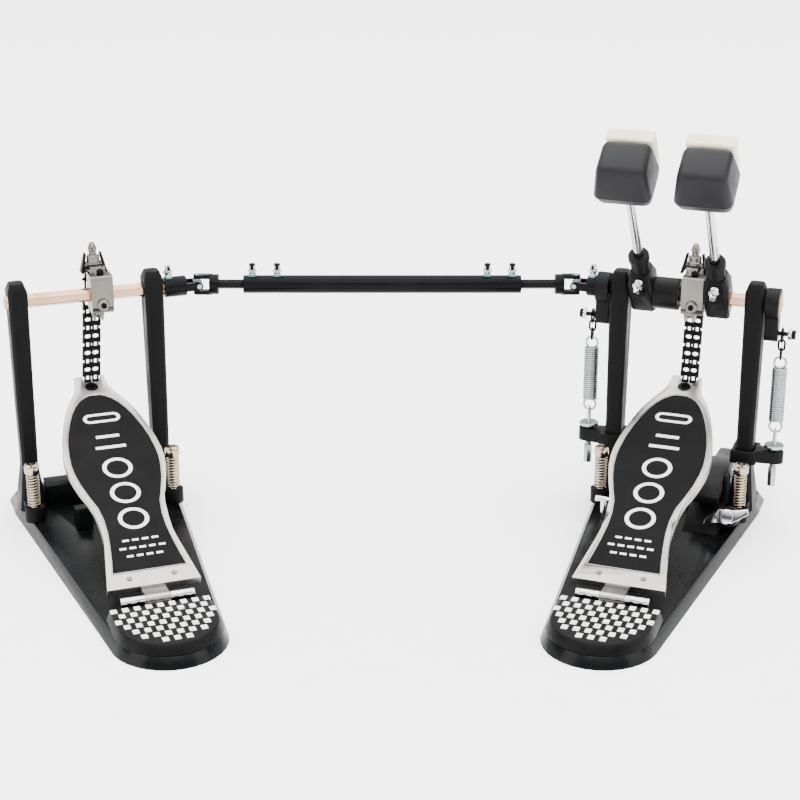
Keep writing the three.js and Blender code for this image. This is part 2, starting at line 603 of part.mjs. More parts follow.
for (const side of sides) {
  const frame = new THREE.Group();
  frame.position.set(side.x, 0, 0);
  frame.rotation.z = rad(side.turn);
  centring.add(frame);
  const own = (name, shape, material) => mesh(frame, `${side.name}_${name}`, shape, material);

  const plainBase = basePlate(side);
  own('base_plate', side.name === 'right' ? plainBase.add(clampLip()) : plainBase, basePaint);
  own('heel_plate', heelPlate(), basePaint);
  own('hinge_base', hingeBase(), chrome);
  for (const s of [-1, 1]) {
    const place = s === side.inner ? 'inner' : 'outer';
    own(`${place}_post`, post(s), blackPaint);
    own(`${place}_spur_bolt`, spurBolt(s), warmNickel);
  }
  own('footboard', footboard(), castAluminium);
  own('tread_pad', treadPad(), rubber);
  own('cam', cam(side.camU), castAluminium);
  own('chain_wrap', chainWrap(side.camU), blackSteel);
  for (const [name, first] of [['chain_link_b', LINK_ANGLE], ['chain_link_a', 0]]) {
    const stretch = chainStretch(onCam(first), onCam(first + LINK_ANGLE), 1, side.camU, side.camU);
    own(name, stretch, blackSteel);
  }
  own('chain_strand', chainStretch(toe, onCam(0), 11, TOE_CHAIN_U, side.camU), blackSteel);
  if (side.name === 'left') {
    own('shaft', shaft(-70, JOINT_U - HUB_FACE - 2), warmNickel);
    own('shaft_yoke', shaftYoke(1), blackSteel);
    continue;
  }
  own('shaft', shaft(SECOND_BEATER_U + 12 + GAP + 2, 82), warmNickel);
  own('shaft_yoke', shaftYoke(-1), blackSteel);
  own('drive_hub', driveHub(), blackCasting);
  const shaftBore = alongU(hexagon(HEX_FLATS + 2 * GAP), 0, 50, 6);
  own('beater_hub', beaterHub(MAIN_BEATER_U).subtract(shaftBore), blackCasting);
  for (const [name, u] of [['main', MAIN_BEATER_U], ['second', SECOND_BEATER_U]]) {
    own(`${name}_beater_rod`, beaterRod(u), chrome);
    own(`${name}_beater_head`, beaterHead(u), plastic);
    own(`${name}_beater_felt`, beaterFelt(u), felt);
  }
  for (const [name, s] of [['main', 1], ['second', -1]]) {
    own(`${name}_rocker`, rocker(s), blackCasting);
    own(`${name}_stirrup`, stirrup(s), zinc);
    own(`${name}_spring`, springCoil(s), zinc);
    own(`${name}_tension_rod`, tensionRod(s), zinc);
    own(`${name}_spring_arm`, springArm(s), blackCasting);
  }
  own('clamp_bracket', clampBracket(), blackCasting);
  own('clamp_jaw', clampJaw(), blackCasting);
  own('clamp_wing_bolt', wingBolt(), chrome);
  own('drum_key', drumKey(), chrome);
}

mesh(centring, 'drive_tube', driveTube(), blackSteel);
for (const [name, s, turn] of [['left', -1, TOE_OUT], ['right', 1, -TOE_OUT]]) {
  mesh(centring, `${name}_drive_rod`, driveRod(s), blackSteel);
  mesh(centring, `${name}_joint_cross`, placed(cross(), s * jointX, jointY, SHAFT_Z, rad(turn)), zinc);
}
centring.position.set(-BOX_CENTRE[0], -BOX_CENTRE[1], 0);

export default pedals;
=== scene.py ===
# %% [markdown]
# # Twin bass drum pedal
# A twin bass drum pedal has two footboards and one pair of beaters. The right pedal carries both
# beaters. The left pedal turns the second beater through a rod with two universal joints.
# The CAD solids give every place and size. This lesson gives them their edges, threads, springs,
# chains and finishes, one piece at a time.

# %% The frame
import math

import bpy
from mathutils import Matrix, Vector


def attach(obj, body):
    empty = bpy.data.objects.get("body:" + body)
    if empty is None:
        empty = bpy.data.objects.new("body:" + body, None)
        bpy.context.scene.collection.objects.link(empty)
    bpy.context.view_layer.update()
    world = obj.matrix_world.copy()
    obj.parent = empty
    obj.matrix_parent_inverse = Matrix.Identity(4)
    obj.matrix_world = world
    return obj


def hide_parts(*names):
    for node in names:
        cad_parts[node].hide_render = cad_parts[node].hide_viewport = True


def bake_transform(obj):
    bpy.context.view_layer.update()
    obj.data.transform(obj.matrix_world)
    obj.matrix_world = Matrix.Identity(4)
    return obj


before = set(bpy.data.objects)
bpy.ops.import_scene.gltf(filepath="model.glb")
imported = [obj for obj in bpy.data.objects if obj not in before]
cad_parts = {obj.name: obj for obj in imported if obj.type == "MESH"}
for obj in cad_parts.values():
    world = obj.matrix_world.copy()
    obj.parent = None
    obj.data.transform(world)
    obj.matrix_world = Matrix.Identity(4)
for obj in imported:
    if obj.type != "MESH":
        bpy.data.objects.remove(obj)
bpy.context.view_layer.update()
print("CAD nodes:", len(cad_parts))

# %% [markdown]
# ## Places
# Each pedal was drawn in its own frame: u to the right, v towards the drum, z up, with its
# origin on the floor under its shaft. The pedals are turned outwards by 20 degrees, so a piece is
# modelled in the pedal's frame, in millimetres, and one matrix takes it to its place.

# %% Frames of the two pedals
MM = 0.001
TOE_OUT = math.radians(19.97)
PEDAL_X = 261.85
MIDDLE = (5.838, -121.436)
SHAFT_Z = 197
SIDES = {"left": (-PEDAL_X, TOE_OUT), "right": (PEDAL_X, -TOE_OUT)}


def at(u, v, z):
    return Matrix.Translation(Vector((u, v, z)) * MM)


PEDAL = {name: at(x - MIDDLE[0], -MIDDLE[1], 0) @ Matrix.Rotation(turn, 4, "Z")
         for name, (x, turn) in SIDES.items()}
BEATER_LEAN = math.radians(37)
LEANT = at(0, 0, SHAFT_Z) @ Matrix.Rotation(BEATER_LEAN, 4, "X")
BOARD_SLOPE = math.radians(20.35)
ON_BOARD = at(1, -232, 25) @ Matrix.Rotation(BOARD_SLOPE, 4, "X")


def along(start, end):
    """The place of a piece that stands on start and points at end."""
    way = (Vector(end) - Vector(start)).normalized()
    return at(*start) @ way.to_track_quat("Z", "Y").to_matrix().to_4x4()


print("right pedal stands at", [round(c, 3) for c in PEDAL["right"].translation])

# %% [markdown]
# ## Working by hand, in code
# Every operator acts on what is selected, so `only` clears the selection first. `pick` goes into
# edit mode with the faces or corners that pass a test selected, and `shift` moves them. `stand`
# takes a piece to its place and leaves that place in the mesh.

# %% Selecting


def only(piece=None):
    if bpy.context.object and bpy.context.object.mode != "OBJECT":
        bpy.ops.object.mode_set(mode="OBJECT")
    bpy.ops.object.select_all(action="DESELECT")
    if piece:
        bpy.context.view_layer.objects.active = piece
        piece.select_set(True)
    return piece


def pick(piece, test, kind="FACE"):
    only(piece)
    bpy.ops.object.mode_set(mode="EDIT")
    bpy.ops.mesh.select_mode(type=kind)
    bpy.ops.mesh.select_all(action="DESELECT")
    bpy.ops.object.mode_set(mode="OBJECT")
    for part in piece.data.polygons if kind == "FACE" else piece.data.vertices:
        part.select = test(part)
    bpy.ops.object.mode_set(mode="EDIT")


def stand(piece, place):
    only(piece)
    piece.matrix_world = place
    bpy.ops.object.transform_apply(location=True, rotation=True, scale=True)
    return piece


def shift(piece, test, offset):
    """Moves the vertices that pass a test, by an offset in mm."""
    pick(piece, test, "VERT")
    bpy.ops.transform.translate(value=Vector(offset) * MM)
    bpy.ops.object.mode_set(mode="OBJECT")


def together(pieces):
    only(pieces[0])
    for piece in pieces:
        piece.select_set(True)
    bpy.ops.object.join()
    return bpy.context.object


def copy_of(piece, place):
    twin = bpy.data.objects.new(piece.name, piece.data.copy())
    bpy.context.scene.collection.objects.link(twin)
    return stand(twin, place)


def discard(piece):
    only()
    bpy.data.objects.remove(piece)


# %% [markdown]
# A turned part is drawn as on a lathe: a filled circle is extruded upwards ring by ring, and each
# ring is scaled to its radius. A coil could follow a curve, but the Screw modifier winds a small
# circle of wire in one step and keeps its section round.

# %% Starting shapes


def turned(profile, sides=24):
    """A lathe-turned piece: (radius, height) pairs in mm, from its foot upwards."""
    only()
    radius, height = profile[0]
    bpy.ops.mesh.primitive_circle_add(vertices=sides, radius=radius * MM, fill_type="NGON")
    piece = stand(bpy.context.object, at(0, 0, height))
    bpy.ops.object.mode_set(mode="EDIT")
    bpy.ops.mesh.select_mode(type="FACE")
    bpy.ops.mesh.select_all(action="SELECT")
    for new_radius, new_height in profile[1:]:
        rise = (new_height - height) * MM
        bpy.ops.mesh.extrude_region_move(TRANSFORM_OT_translate={"value": (0, 0, rise)})
        grow = new_radius / radius
        bpy.ops.transform.resize(value=(grow, grow, 1), center_override=(0, 0, new_height * MM))
        radius, height = new_radius, new_height
    bpy.ops.object.mode_set(mode="OBJECT")
    return piece


def block(size, middle=(0, 0, 0), edge=0.5, steps=2):
    """A block in mm with softened edges."""
    only()
    bpy.ops.mesh.primitive_cube_add(size=1)
    piece = bpy.context.object
    piece.scale = Vector(size) * MM
    stand(piece, at(*middle) @ Matrix.Diagonal((*piece.scale, 1)))
    if edge:
        bpy.ops.object.mode_set(mode="EDIT")
        bpy.ops.mesh.select_all(action="SELECT")
        bpy.ops.mesh.bevel(offset=edge * MM, segments=steps, affect="EDGES")
        bpy.ops.object.mode_set(mode="OBJECT")
    return piece


def ring(radius, wire, sides=28, section=10):
    only()
    bpy.ops.mesh.primitive_torus_add(major_segments=sides, minor_segments=section,
                                     major_radius=radius * MM, minor_radius=wire * MM)
    return bpy.context.object


def coil(radius, wire, low, high, turns, section=8, steps=16):
    """A coil spring: a small circle of wire, wound up by the Screw modifier."""
    only()
    bpy.ops.mesh.primitive_circle_add(vertices=section, radius=wire * MM)
    piece = stand(bpy.context.object, at(radius, 0, low) @ Matrix.Rotation(math.pi / 2, 4, "X"))
    winding = piece.modifiers.new("winding", "SCREW")
    winding.axis = "Z"
    winding.angle = math.tau
    winding.iterations = turns
    winding.screw_offset = (high - low) * MM / turns
    winding.steps = winding.render_steps = steps
    bpy.ops.object.modifier_apply(modifier=winding.name)
    bpy.ops.object.mode_set(mode="EDIT")
    bpy.ops.mesh.select_mode(type="EDGE")
    bpy.ops.mesh.select_all(action="SELECT")
    bpy.ops.mesh.remove_doubles(threshold=1e-6)
    bpy.ops.mesh.select_all(action="DESELECT")
    bpy.ops.mesh.select_non_manifold()
    bpy.ops.mesh.fill()
    bpy.ops.object.mode_set(mode="OBJECT")
    return piece


# %% [markdown]
# A CAD solid has knife-sharp edges, and a real casting or stamping never has. `polished` copies a
# node's mesh, merges its loose triangles, dissolves the flat ones into whole faces, and bevels
# what is left, so that every edge catches a line of light. The CAD node itself isn't touched.

# %% Polishing and handing over


def merged(node):
    """A copy of a CAD node's mesh in whole faces."""
    piece = bpy.data.objects.new(node + "_polished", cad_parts[node].data.copy())
    bpy.context.scene.collection.objects.link(piece)
    only(piece)
    bpy.ops.object.mode_set(mode="EDIT")
    bpy.ops.mesh.select_all(action="SELECT")
    bpy.ops.mesh.remove_doubles(threshold=1e-5)
    bpy.ops.mesh.dissolve_limited(angle_limit=math.radians(1))
    bpy.ops.object.mode_set(mode="OBJECT")
    return piece


def polished(node, edge, steps=2, sharp=34):
    """The same copy, with its sharp edges broken by edge mm."""
    piece = merged(node)
    edges = piece.modifiers.new("edges", "BEVEL")
    edges.width = edge * MM
    edges.segments = steps
    edges.limit_method = "ANGLE"
    edges.angle_limit = math.radians(sharp)
    bpy.ops.object.modifier_apply(modifier=edges.name)
    return piece


def deliver(piece, name, finish, body, slot, *nodes, smooth=35):
    """Names a piece, turns its faces outwards, gives it its finish and its body."""
    only(piece)
    piece.name = piece.data.name = name
    bpy.ops.object.mode_set(mode="EDIT")
    bpy.ops.mesh.select_all(action="SELECT")
    bpy.ops.mesh.remove_doubles(threshold=1e-7)
    bpy.ops.mesh.normals_make_consistent(inside=False)
    bpy.ops.object.mode_set(mode="OBJECT")
    bpy.ops.object.shade_smooth_by_angle(angle=math.radians(smooth))
    piece.data.materials.clear()
    piece.data.materials.append(finish)
    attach(piece, body)
    if nodes:
        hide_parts(*nodes)
    print(f"{name}: {len(piece.data.polygons)} faces on {body}")
    return piece


# %% [markdown]
# ## Finishes
# Colours are written as the hex values a paint chart gives, and one function turns them to the
# linear values a shader takes. A second function adds a node with its settings and links.
# Patterns are scaled in cycles per metre, so a grain of 0.5 mm is a scale of 2000. Every finish
# also drifts in clouds of about 25 mm, because no real surface has one gloss all over.

# %% Colour and node helpers


def linear(code):
    parts = [int(code[i:i + 2], 16) / 255 for i in (1, 3, 5)]
    return [c / 12.92 if c <= 0.04045 else ((c + 0.055) / 1.055) ** 2.4 for c in parts] + [1]


def add(material, kind, settings, links=()):
    node = material.node_tree.nodes.new(kind)
    for key, value in settings.items():
        if isinstance(key, int) or key in node.inputs:
            node.inputs[key].default_value = value
        else:
            setattr(node, key, value)
    for socket, source in dict(links).items():
        material.node_tree.links.new(source, node.inputs[socket])
    return node


SOCKETS = {"coat_weight": "Coat Weight", "coat_roughness": "Coat Roughness",
           "sheen_weight": "Sheen Weight", "sheen_roughness": "Sheen Roughness",
           "specular_ior_level": "Specular IOR Level"}
CLOUD = 25


def finish(name, color, fleck, roughness, metallic, grain, bump, stretch=(1, 1, 1), **shader):
    """A finish with a grain in mm: two close colours, a varied gloss and a relief in mm."""
    material = bpy.data.materials.new(name)
    material.use_nodes = True
    surface = material.node_tree.nodes["Principled BSDF"]
    surface.inputs["Metallic"].default_value = metallic
    for socket, value in shader.items():
        surface.inputs[SOCKETS[socket]].default_value = value
    place = add(material, "ShaderNodeTexCoord", {})
    scaled = add(material, "ShaderNodeMapping", {"Scale": stretch},
                 {"Vector": place.outputs["Object"]})
    fine = add(material, "ShaderNodeTexNoise",
               {"Scale": 1 / (grain * MM), "Detail": 3, "Roughness": 0.6},
               {"Vector": scaled.outputs[0]})
    broad = add(material, "ShaderNodeTexNoise", {"Scale": 1 / (CLOUD * MM), "Detail": 4},
                {"Vector": place.outputs["Object"]})
    mixed = add(material, "ShaderNodeMath", {"operation": "MULTIPLY_ADD", 1: 0.5},
                {0: fine.outputs[0], 2: broad.outputs[0]})
    shade = add(material, "ShaderNodeValToRGB", {}, {"Fac": mixed.outputs[0]})
    shade.color_ramp.elements[0].position = 0.45
    shade.color_ramp.elements[0].color = linear(fleck)
    shade.color_ramp.elements[1].position = 0.95
    shade.color_ramp.elements[1].color = linear(color)
    gloss = add(material, "ShaderNodeMapRange",
                {"From Min": 0.3, "From Max": 0.7, "To Min": roughness * 0.8,
                 "To Max": roughness * 1.25}, {"Value": broad.outputs[0]})
    relief = add(material, "ShaderNodeBump", {"Strength": 1, "Distance": bump * MM},
                 {"Height": fine.outputs[0]})
    for socket, source in (("Base Color", shade.outputs[0]), ("Roughness", gloss.outputs[0]),
                           ("Normal", relief.outputs[0])):
        material.node_tree.links.new(source, surface.inputs[socket])
    return material


# %% [markdown]
# Gloss powder coat on the steel bases: it melts to a thick skin with a slight orange-peel
# ripple about 1.5 mm across, and a clear top gloss.
#
# Satin powder coat on the posts and the clamps is the same paint with a finer, sandier grain,
# so it reflects broad soft lights only.

# %% Paints
# Wet-looking black, whose soft highlight breaks up on the ripple.
gloss_powder_coat = finish("gloss_powder_coat", "#090a0b", "#050606", 0.26, 0, 1.5, 0.02,
                           specular_ior_level=0.07, coat_weight=0.03, coat_roughness=0.12)
# A dry, even black that holds no mirror image.
satin_powder_coat = finish("satin_powder_coat", "#090909", "#050506", 0.5, 0, 0.5, 0.04,
                           specular_ior_level=0.06)
# The same black over a cast skin, so its gloss is a little uneven.
painted_casting = finish("painted_casting", "#0a0a0b", "#060607", 0.42, 0, 0.8, 0.06,
                         specular_ior_level=0.07)
# Grainier than the base, so that the light squares stand out from it.
heel_coat = finish("textured_heel_coat", "#080809", "#040405", 0.4, 0, 0.7, 0.06,
                   specular_ior_level=0.06)
print("paints made")

# %% [markdown]
# The footboards are cast aluminium, tumbled to a satin, and the cams are the same metal, machined.
# Shafts are nickel over copper, which gives a warm pink-gold, and the spur bolts' plate is paler.
# The springs are zinc plated and cooler. Screws and beater rods are bright chrome. Chains, yokes
# and the drive tube are black-oxide steel, which is nearly as dark as paint. Metals are drawn a
# little darker than a data sheet gives, because the bright studio lights them from all round.

# %% Metals
# Light warm grey with cloudy patches of gloss.
satin_aluminium = finish("satin_cast_aluminium", "#a19e99", "#8a8782", 0.32, 1, 0.6, 0.012)
# Mid grey, with cutter marks as fine level lines.
machined_aluminium = finish("machined_aluminium", "#6b6863", "#54514d", 0.3, 1, 0.4, 0.01,
                            (1, 1, 8))
# Sharp light and dark bands that show the studio.
polished_chrome = finish("polished_chrome", "#c6c6c8", "#b4b4b8", 0.1, 1, 6, 0.001)
# A pink-gold glow, different on each flat of a shaft.
warm_nickel_plate = finish("warm_nickel_plate", "#b6947a", "#8f6f56", 0.2, 1, 0.8, 0.006)
# Champagne, between the shafts and the springs.
pale_nickel_plate = finish("pale_nickel_plate", "#b3a593", "#8a7d6a", 0.2, 1, 0.8, 0.006)
# Cool blue-grey with a soft highlight.
zinc_plate = finish("zinc_plate", "#9aa5a3", "#7f8a89", 0.28, 1, 0.9, 0.01)
# Deep, oily blue-black.
black_oxide = finish("black_oxide_steel", "#0a0a0c", "#050506", 0.3, 0, 0.7, 0.012,
                     specular_ior_level=0.05)
# A coppery ring round the shaft's end.
bearing_bronze = finish("bearing_bronze", "#b98a6c", "#9a6d52", 0.3, 1, 0.5, 0.01)
print("metals made")

# %% [markdown]
# The tread pads are moulded rubber with a fine pebble. Their light marks are moulded in a white
# rubber. The beater heads are polyurethane with a satin mould skin. The striking face is pressed
# wool felt: matt, cream, with short fibres of about 0.3 mm that a sheen makes soft at the rim.
# A film of blue-green thread lock shows at the foot of the linkage's screws.

# %% Rubber, plastic and felt
# Matt charcoal. The pebble is drawn at 0.9 mm, coarser than it is, so that it shows.
tread_rubber = finish("pebbled_rubber", "#0f0f10", "#0a0a0b", 0.7, 0, 0.9, 0.12,
                      specular_ior_level=0.05)
# Off-white, with no shine.
white_rubber = finish("white_moulded_rubber", "#dddbd6", "#cfcdc7", 0.55, 0, 0.8, 0.05)
# Dark grey with a broad, low shine.
moulded_polyurethane = finish("moulded_polyurethane", "#141416", "#0f0f11", 0.42, 0, 0.6, 0.05,
                              specular_ior_level=0.12)
# Cream and matt, with a light fuzz at its edges.
pressed_felt = finish("pressed_wool_felt", "#efe2c8", "#dfcfae", 0.95, 0, 0.5, 0.5, (1, 1, 2.5),
                      sheen_weight=0.5, sheen_roughness=0.5)
# A thin blue-green ring.
thread_lock = finish("thread_lock_film", "#2b6f70", "#1d5456", 0.4, 0, 1, 0.02)
print("rubber, plastic and felt made")

# %% [markdown]
# ## Bases and posts
# Each base is a pressed steel plate with a raised crossbar at the front, and two posts are bolted
# to it. Both shapes are right in the CAD, so they are polished. The plate's edge is broken by
# 0.9 mm and the posts' by 2.2 mm, because a cast post is much rounder than a pressed plate.

# %% Bases, heel plates and hinges
for side in SIDES:
    deliver(polished(f"{side}_base_plate", 0.9, 3), f"{side}_base_skin", gloss_powder_coat,
            "stands", "painted_base", f"{side}_base_plate")
    deliver(polished(f"{side}_heel_plate", 1.6, 3), f"{side}_heel_skin", heel_coat, "stands",
            "painted_base", f"{side}_heel_plate")
    deliver(polished(f"{side}_hinge_base", 0.35), f"{side}_hinge_leaf", polished_chrome, "stands",
            "chrome", f"{side}_hinge_base")
    for place in ("outer", "inner"):
        deliver(polished(f"{side}_{place}_post", 2.2, 3), f"{side}_{place}_post_casting",
                satin_powder_coat, "stands", "painted_steel", f"{side}_{place}_post")

# %% [markdown]
# The heel plate is covered with light grip squares, 5 by 6.5 mm, in staggered rows inside the
# rounded heel. One square is modelled as a block with soft upper edges, and it is copied to each
# place that lies wholly on the plate.

# %% Grip squares on the heel plates
HEEL_TOP = 18
SQUARE = (5.0, 6.4)
ROW_PITCH = 9.6
COLUMN_PITCH = 9.2
FIRST_ROW = -256
HEEL_FIELD = (-282, 40.5, 39.5)


def on_heel(u, v):
    centre, half_width, length = HEEL_FIELD
    reach = max(0, centre - v) / length
    return reach < 1 and abs(u) < half_width * math.sqrt(1 - reach * reach)


pad_square = block((*SQUARE, 0.9), (0, 0, HEEL_TOP + 0.1), 0.3)
for side in SIDES:
    squares = []
    for row in range(8):
        v = FIRST_ROW - ROW_PITCH * row
        for column in range(-5, 6):
            u = COLUMN_PITCH * (column + 0.5 * (row % 2))
            corners = [(u + a * SQUARE[0] / 2, v + b * SQUARE[1] / 2)
                       for a in (-1, 1) for b in (-1, 1)]
            if all(on_heel(*corner) for corner in corners):
                squares.append(copy_of(pad_square, PEDAL[side] @ at(u, v, 0)))
    print(side, "heel has", len(squares), "squares")
    deliver(together(squares), f"{side}_heel_grip", white_rubber, "stands", "tread_rubber")
discard(pad_square)

# %% [markdown]
# ## Screws
# Square-headed drum-key screws hold everything that a drummer adjusts, so that one key fits all.
# A screw has a threaded shank, a flange like a small washer, and a square head with a softened
# top. Shank and flange are turned in one go, and the square head is a block set on top.

# %% One drum-key screw


def key_screw(shank=5, scale=1.0):
    thread = [(2.5, 0)]
    for ridge in range(int(shank)):
        thread += [(2.9, ridge + 0.25), (2.5, ridge + 0.75)]
    top = thread[-1][1]
    body = turned(thread + [(2.4, top + 0.4), (3.9, top + 0.5), (4.1, top + 1.0),
                            (3.9, top + 1.7), (2.9, top + 2.0), (2.9, top + 2.4)])
    head = block((4.3, 4.3, 4.6), (0, 0, top + 4.4), 0.7)
    return stand(together([body, head]), Matrix.Scale(scale, 4))


def film(radius=3.4):
    return turned([(radius + 0.3, -0.2), (radius, 0.7), (radius - 0.6, 1.1)], 20)


# %% [markdown]
# ## Shafts, cams and rockers
# The hexagonal shafts are drawn bar, so their flats stay flat with a small break along each
# corner. The cam and the block that clamps it to the shaft are one piece. On the finished piece
# the block stands 7 mm taller than its solid and its lower front edge 3.5 mm higher, so those
# corners are picked by their place and shifted, in the shaft's own frame.

# %% Shafts and cams
deliver(polished("left_shaft", 0.4), "left_hex_shaft", warm_nickel_plate, "left_shaft_set",
        "warm_nickel", "left_shaft")
deliver(polished("right_shaft", 0.4), "right_hex_shaft", warm_nickel_plate, "main_shaft_set",
        "warm_nickel", "right_shaft")
SHAFT_BODY = {"left": "left_shaft_set", "right": "main_shaft_set"}
CAM_U = {"left": 10, "right": 3}
BLOCK_RISE = 7
BOSS_RISE = 3.5
BLOCK_TOP, BLOCK_BACK = 9.9, 9.1
BOSS_TOP, BOSS_BACK = -4, -11.4
for side, body in SHAFT_BODY.items():
    shaft_line = PEDAL[side] @ at(0, 0, SHAFT_Z)
    cam = stand(polished(f"{side}_cam", 0.5), shaft_line.inverted())
    shift(cam, lambda v: v.co.z > BLOCK_TOP * MM and v.co.y < BLOCK_BACK * MM,
          (0, 0, BLOCK_RISE))
    shift(cam, lambda v: v.co.z < BOSS_TOP * MM and v.co.y < BOSS_BACK * MM, (0, 0, BOSS_RISE))
    deliver(stand(cam, shaft_line), f"{side}_cam_casting", machined_aluminium, body,
            "cast_aluminium", f"{side}_cam", smooth=25)

# %% [markdown]
# Two toothed discs on the cam carry the twin chain. A disc starts as a short cylinder with two
# side faces for each tooth. Every second side face is pulled out and narrowed, which gives twenty
# teeth, and the disc is cut away in front, where the clamping block stands. Two black plates guard
# the chain's end, and a stepped screw anchors it between them.

# %% Sprocket discs, chain guards and the chain's anchor screw
TEETH = 20
DISC_R = 21.2
DISC_THICK = 2
TOOTH = 2.2
DISC_FRONT = -5
ROLLER_U = 3.4
GUARD_U = 10.2
ANCHOR_V, ANCHOR_Z = 8, 25
BOSS = (3, -11.6, -6.5)


def sprocket():
    only()
    bpy.ops.mesh.primitive_cylinder_add(vertices=TEETH * 2, radius=DISC_R * MM,
                                        depth=DISC_THICK * MM)
    disc = stand(bpy.context.object, Matrix.Rotation(math.pi / 2, 4, "Y"))
    sides = {f.index: math.atan2(f.center.z, f.center.y)
             for f in disc.data.polygons if abs(f.normal.x) < 0.5}
    teeth = {i for rank, i in enumerate(sorted(sides, key=sides.get)) if rank % 2}
    pick(disc, lambda f: f.index in teeth)
    bpy.ops.mesh.extrude_faces_move(TRANSFORM_OT_shrink_fatten={"value": TOOTH * MM})
    bpy.ops.transform.resize(value=(0.7, 1, 1))
    bpy.ops.mesh.select_all(action="SELECT")
    bpy.ops.mesh.bisect(plane_co=(0, DISC_FRONT * MM, 0), plane_no=(0, -1, 0), clear_outer=True,
                        use_fill=True)
    bpy.ops.object.mode_set(mode="OBJECT")
    return disc


for side, body in SHAFT_BODY.items():
    shaft_line = PEDAL[side] @ at(CAM_U[side], 0, SHAFT_Z)
    discs = [stand(sprocket(), shaft_line @ at(u, 0, 0)) for u in (-ROLLER_U, ROLLER_U)]
    deliver(together(discs), f"{side}_sprocket", machined_aluminium, body, "cast_aluminium",
            smooth=20)
    guards = []
    for out in (-1, 1):
        guard = block((2.6, 12, 17), (0, 0, 0), 0.6)
        shift(guard, lambda v: v.co.z > 3 * MM, (-3.4 * out, 1, 0))
        pick(guard, lambda v: v.co.z > 3 * MM, "VERT")
        bpy.ops.transform.resize(value=(0.8, 0.4, 1))
        guards.append(stand(guard, shaft_line @ at(GUARD_U * out, 9, 26.5)))
    deliver(together(guards), f"{side}_chain_guards", black_oxide, body, "black_steel")
    anchor = turned([(7.2, 0), (7.8, 0.6), (7.8, 2), (6.2, 2.4), (5.6, 3.2), (5.6, 7.4), (5, 8.2),
                     (3.2, 8.6), (3.2, 11.2), (3.8, 11.8), (3.8, 15), (3, 16.2), (2.2, 18.6),
                     (1.2, 19.4)], 24)
    stand(anchor, shaft_line @ at(0, ANCHOR_V, ANCHOR_Z)
          @ Matrix.Rotation(math.radians(-6), 4, "X"))
    deliver(anchor, f"{side}_chain_anchor_screw", machined_aluminium, body, "cast_aluminium")
    cap_place = shaft_line @ along(BOSS, (BOSS[0], -17, BOSS[2]))
    cap = turned([(5.2, 0), (5.2, 3.6), (4.5, 4.3), (2.8, 4.3), (2.6, 3), (0.4, 2.9)], 24)
    deliver(stand(cap, cap_place), f"{side}_hub_cap_boss", machined_aluminium, body,
            "cast_aluminium")
    # The black piece in the cap's socket is painted shade: it darkens the inside of the recess.
    socket = turned([(2.5, 2.6), (2.5, 4.4), (1.9, 4.7), (1.5, 3.6), (0.4, 3.5)], 6)
    deliver(stand(socket, cap_place), f"{side}_hub_cap_socket_shade", black_oxide, body, "black_steel")
    pinch = together([block((6, 6, 5), (0, 0, 2), 0.6),
                      turned([(1.8, 4), (1.8, 5.4), (0.6, 5.6)], 12)])
    stand(pinch, shaft_line @ at(3, -3.5, 11.6 + BLOCK_RISE))
    deliver(pinch, f"{side}_hub_pinch_screw", black_oxide, body, "black_steel")

# %% [markdown]
# ## Chains
# A duplex roller chain has three rows of waisted side plates with rollers between them, and light
# shows through between the rollers. A side plate is a short cylinder whose one half is moved
# a pitch away, then cut across its middle and pinched there. Links alternate between an inner and
# an outer set of plates, as on any roller chain.

# %% Chain parts
PLATE_R = 2.7
ROLLER_R = 2.1
OUTER_ROWS = (-7, 0, 7)
INNER_ROWS = (-5.6, -1.3, 1.3, 5.6)


def side_plate(pitch, thick):
    only()
    bpy.ops.mesh.primitive_cylinder_add(vertices=12, radius=PLATE_R * MM, depth=thick * MM)
    plate = stand(bpy.context.object, Matrix.Rotation(math.pi / 2, 4, "Y"))
    pick(plate, lambda v: v.co.y > 0.01 * MM, "VERT")
    bpy.ops.transform.translate(value=(0, pitch * MM, 0))
    bpy.ops.mesh.select_all(action="SELECT")
    bpy.ops.mesh.bisect(plane_co=(0, pitch * MM / 2, 0), plane_no=(0, 1, 0))
    bpy.ops.transform.resize(value=(1, 1, 0.7), center_override=(0, pitch * MM / 2, 0))
    bpy.ops.object.mode_set(mode="OBJECT")
    return plate


def chain_run(length, pitches, drift=0.0):
    """A straight run along +y from the origin; drift slides its far end sideways in u."""
    pitch = length / pitches
    outer = side_plate(pitch, 1.9)
    inner = side_plate(pitch, 1.5)
    pin = turned([(1.2, -8.1), (1.3, -7.9), (1.3, 7.9), (1.2, 8.1)], 10)
    stand(pin, Matrix.Rotation(math.pi / 2, 4, "Y"))
    roller = turned([(1.7, -1.6), (ROLLER_R, -1.4), (ROLLER_R, 1.4), (1.7, 1.6)], 12)
    stand(roller, Matrix.Rotation(math.pi / 2, 4, "Y"))
    parts = []
    for i in range(pitches):
        plate, rows = (outer, OUTER_ROWS) if i % 2 else (inner, INNER_ROWS)
        parts += [copy_of(plate, at(u, i * pitch, 0)) for u in rows]
    for i in range(pitches + 1):
        parts.append(copy_of(pin, at(0, i * pitch, 0)))
        parts += [copy_of(roller, at(u, i * pitch, 0)) for u in (-ROLLER_U, ROLLER_U)]
    for start in (outer, inner, pin, roller):
        discard(start)
    run = together(parts)
    slant = Matrix.Identity(4)
    slant[0][1] = drift / length
    run.data.transform(slant)
    return run


# %% [markdown]
# The chain leaves the cam as a straight strand down to the footboard's toe. When the cam turns,
# two short stretches bend onto it, so each stretch is a piece of its own on its own body, and the
# last two pitches are fixed round the cam.

# %% Chains in place
TOE = Vector((13.93, 112.48))
CHAIN_R = 24
LEAVE = -6.91
TOE_CHAIN_U = 3
STRAND_PITCHES = 11
BEND = 26
WRAP_STEP = 18.4


